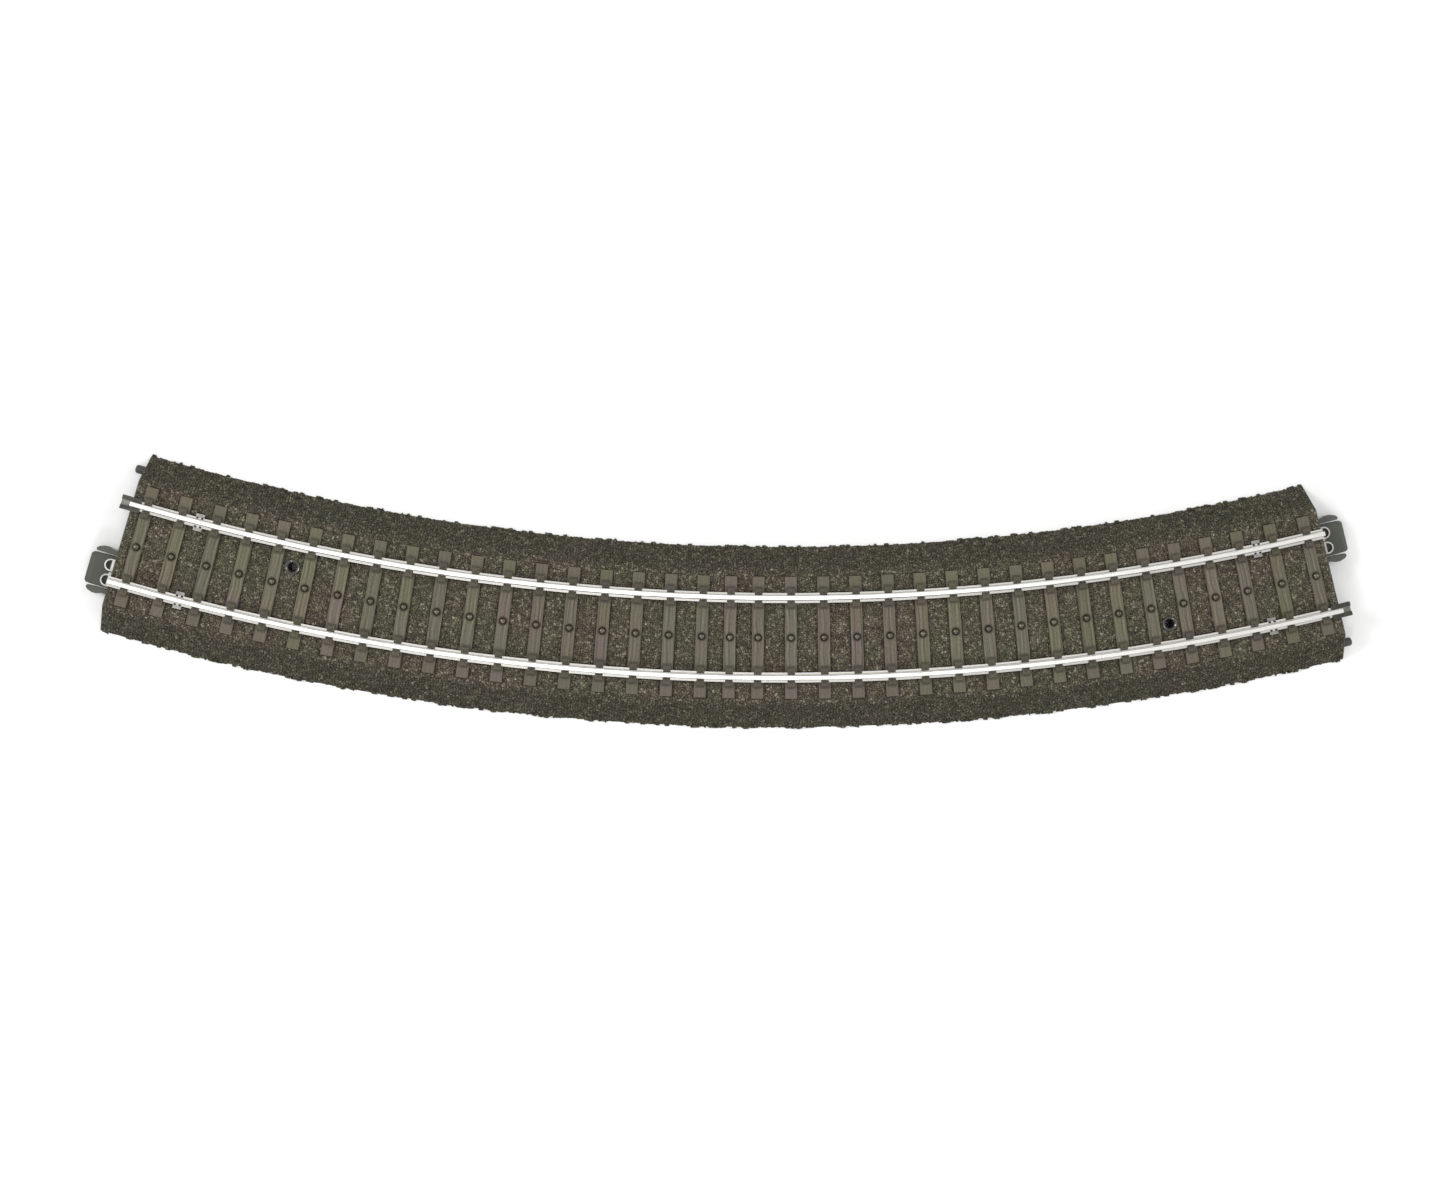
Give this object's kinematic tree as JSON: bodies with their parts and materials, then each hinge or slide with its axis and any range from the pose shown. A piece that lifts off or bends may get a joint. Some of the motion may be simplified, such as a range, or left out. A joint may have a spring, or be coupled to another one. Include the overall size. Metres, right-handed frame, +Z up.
{
  "type": "model track section",
  "caption": "Curved section of three-rail model railway track on a moulded ballast bed, with plug ends, rail joiners and centre studs.",
  "frame": {"origin": "on the face the section stands on, under the middle of the track's centre line", "axes": "+X along the section from its left end to its right end, +Y towards the centre of the curve, +Z up"},
  "size_m": [0.2815, 0.0569, 0.0103],
  "materials": {
    "ballast_plastic": "matt, grainy",
    "rail_steel": "bright drawn",
    "joiner_metal": "dark oxide",
    "stud_steel": "dark, polished crown",
    "contact_metal": "tinned",
    "plug_plastic": "satin moulded"
  },
  "bodies": {
    "track": {"roadbed": "ballast_plastic", "inner_rail": "rail_steel", "outer_rail": "rail_steel", "joiner_left": "joiner_metal", "joiner_right": "joiner_metal", "stud_strip": "stud_steel", "rail_bond_left": "contact_metal", "rail_contact_left": "contact_metal", "centre_contact_left": "contact_metal", "rail_bond_right": "contact_metal", "rail_contact_right": "contact_metal", "centre_contact_right": "contact_metal"},
    "latch_left_near": {"latch_left_near": "plug_plastic"},
    "latch_left_far": {"latch_left_far": "plug_plastic"},
    "latch_right_near": {"latch_right_near": "plug_plastic"},
    "latch_right_far": {"latch_right_far": "plug_plastic"}
  },
  "joints": [
    {"name": "latch_left_near_bend", "type": "hinge", "parent": "track", "child": "latch_left_near", "pos_m": [-0.13309, 0.0148, 0.0027], "axis": [0, 0, 1], "range_deg": [0, 3.5], "stiffness_Nm_per_rad": 0.01},
    {"name": "latch_left_far_bend", "type": "hinge", "parent": "track", "child": "latch_left_far", "pos_m": [-0.13537, 0.0063, 0.0027], "axis": [0, 0, -1], "range_deg": [0, 3.5], "stiffness_Nm_per_rad": 0.01},
    {"name": "latch_right_near_bend", "type": "hinge", "parent": "track", "child": "latch_right_near", "pos_m": [0.13175, 0.01983, 0.0027], "axis": [0, 0, 1], "range_deg": [0, 3.5], "stiffness_Nm_per_rad": 0.01},
    {"name": "latch_right_far_bend", "type": "hinge", "parent": "track", "child": "latch_right_far", "pos_m": [0.12947, 0.02833, 0.0027], "axis": [0, 0, -1], "range_deg": [0, 3.5], "stiffness_Nm_per_rad": 0.01}
  ]
}
